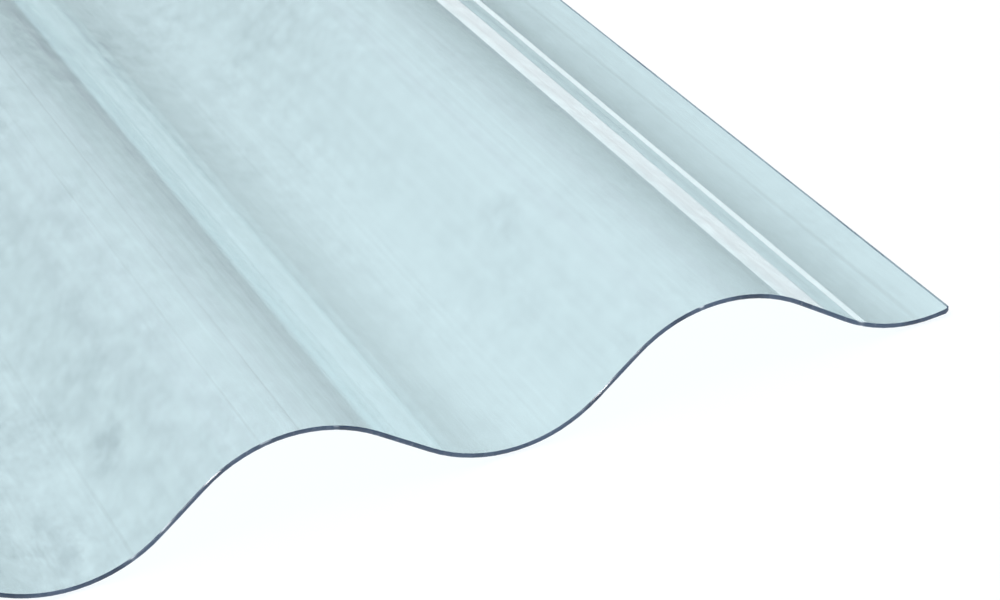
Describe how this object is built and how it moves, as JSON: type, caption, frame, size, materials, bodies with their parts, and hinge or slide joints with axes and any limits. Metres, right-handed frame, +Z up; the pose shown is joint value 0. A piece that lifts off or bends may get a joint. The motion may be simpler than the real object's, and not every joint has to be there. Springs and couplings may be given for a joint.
{
  "type": "corrugated polycarbonate sheet",
  "caption": "Clear corrugated plastic roofing sheet: one thin skin in even rounded waves across its width, straight along its length, with square-cut ends.",
  "frame": {"origin": "on the floor under the middle of the sheet, at the height of the troughs' undersides", "axes": "+X across the waves, towards the side edge that turns up past a trough; +Y along the waves; +Z up"},
  "size_m": [0.85, 1.8, 0.0159],
  "materials": {
    "clear_polycarbonate": "clear, glossy, slightly blue-green, with a dark blue cut edge"
  },
  "bodies": {
    "root": {"corrugated_sheet": "clear_polycarbonate"}
  },
  "joints": []
}
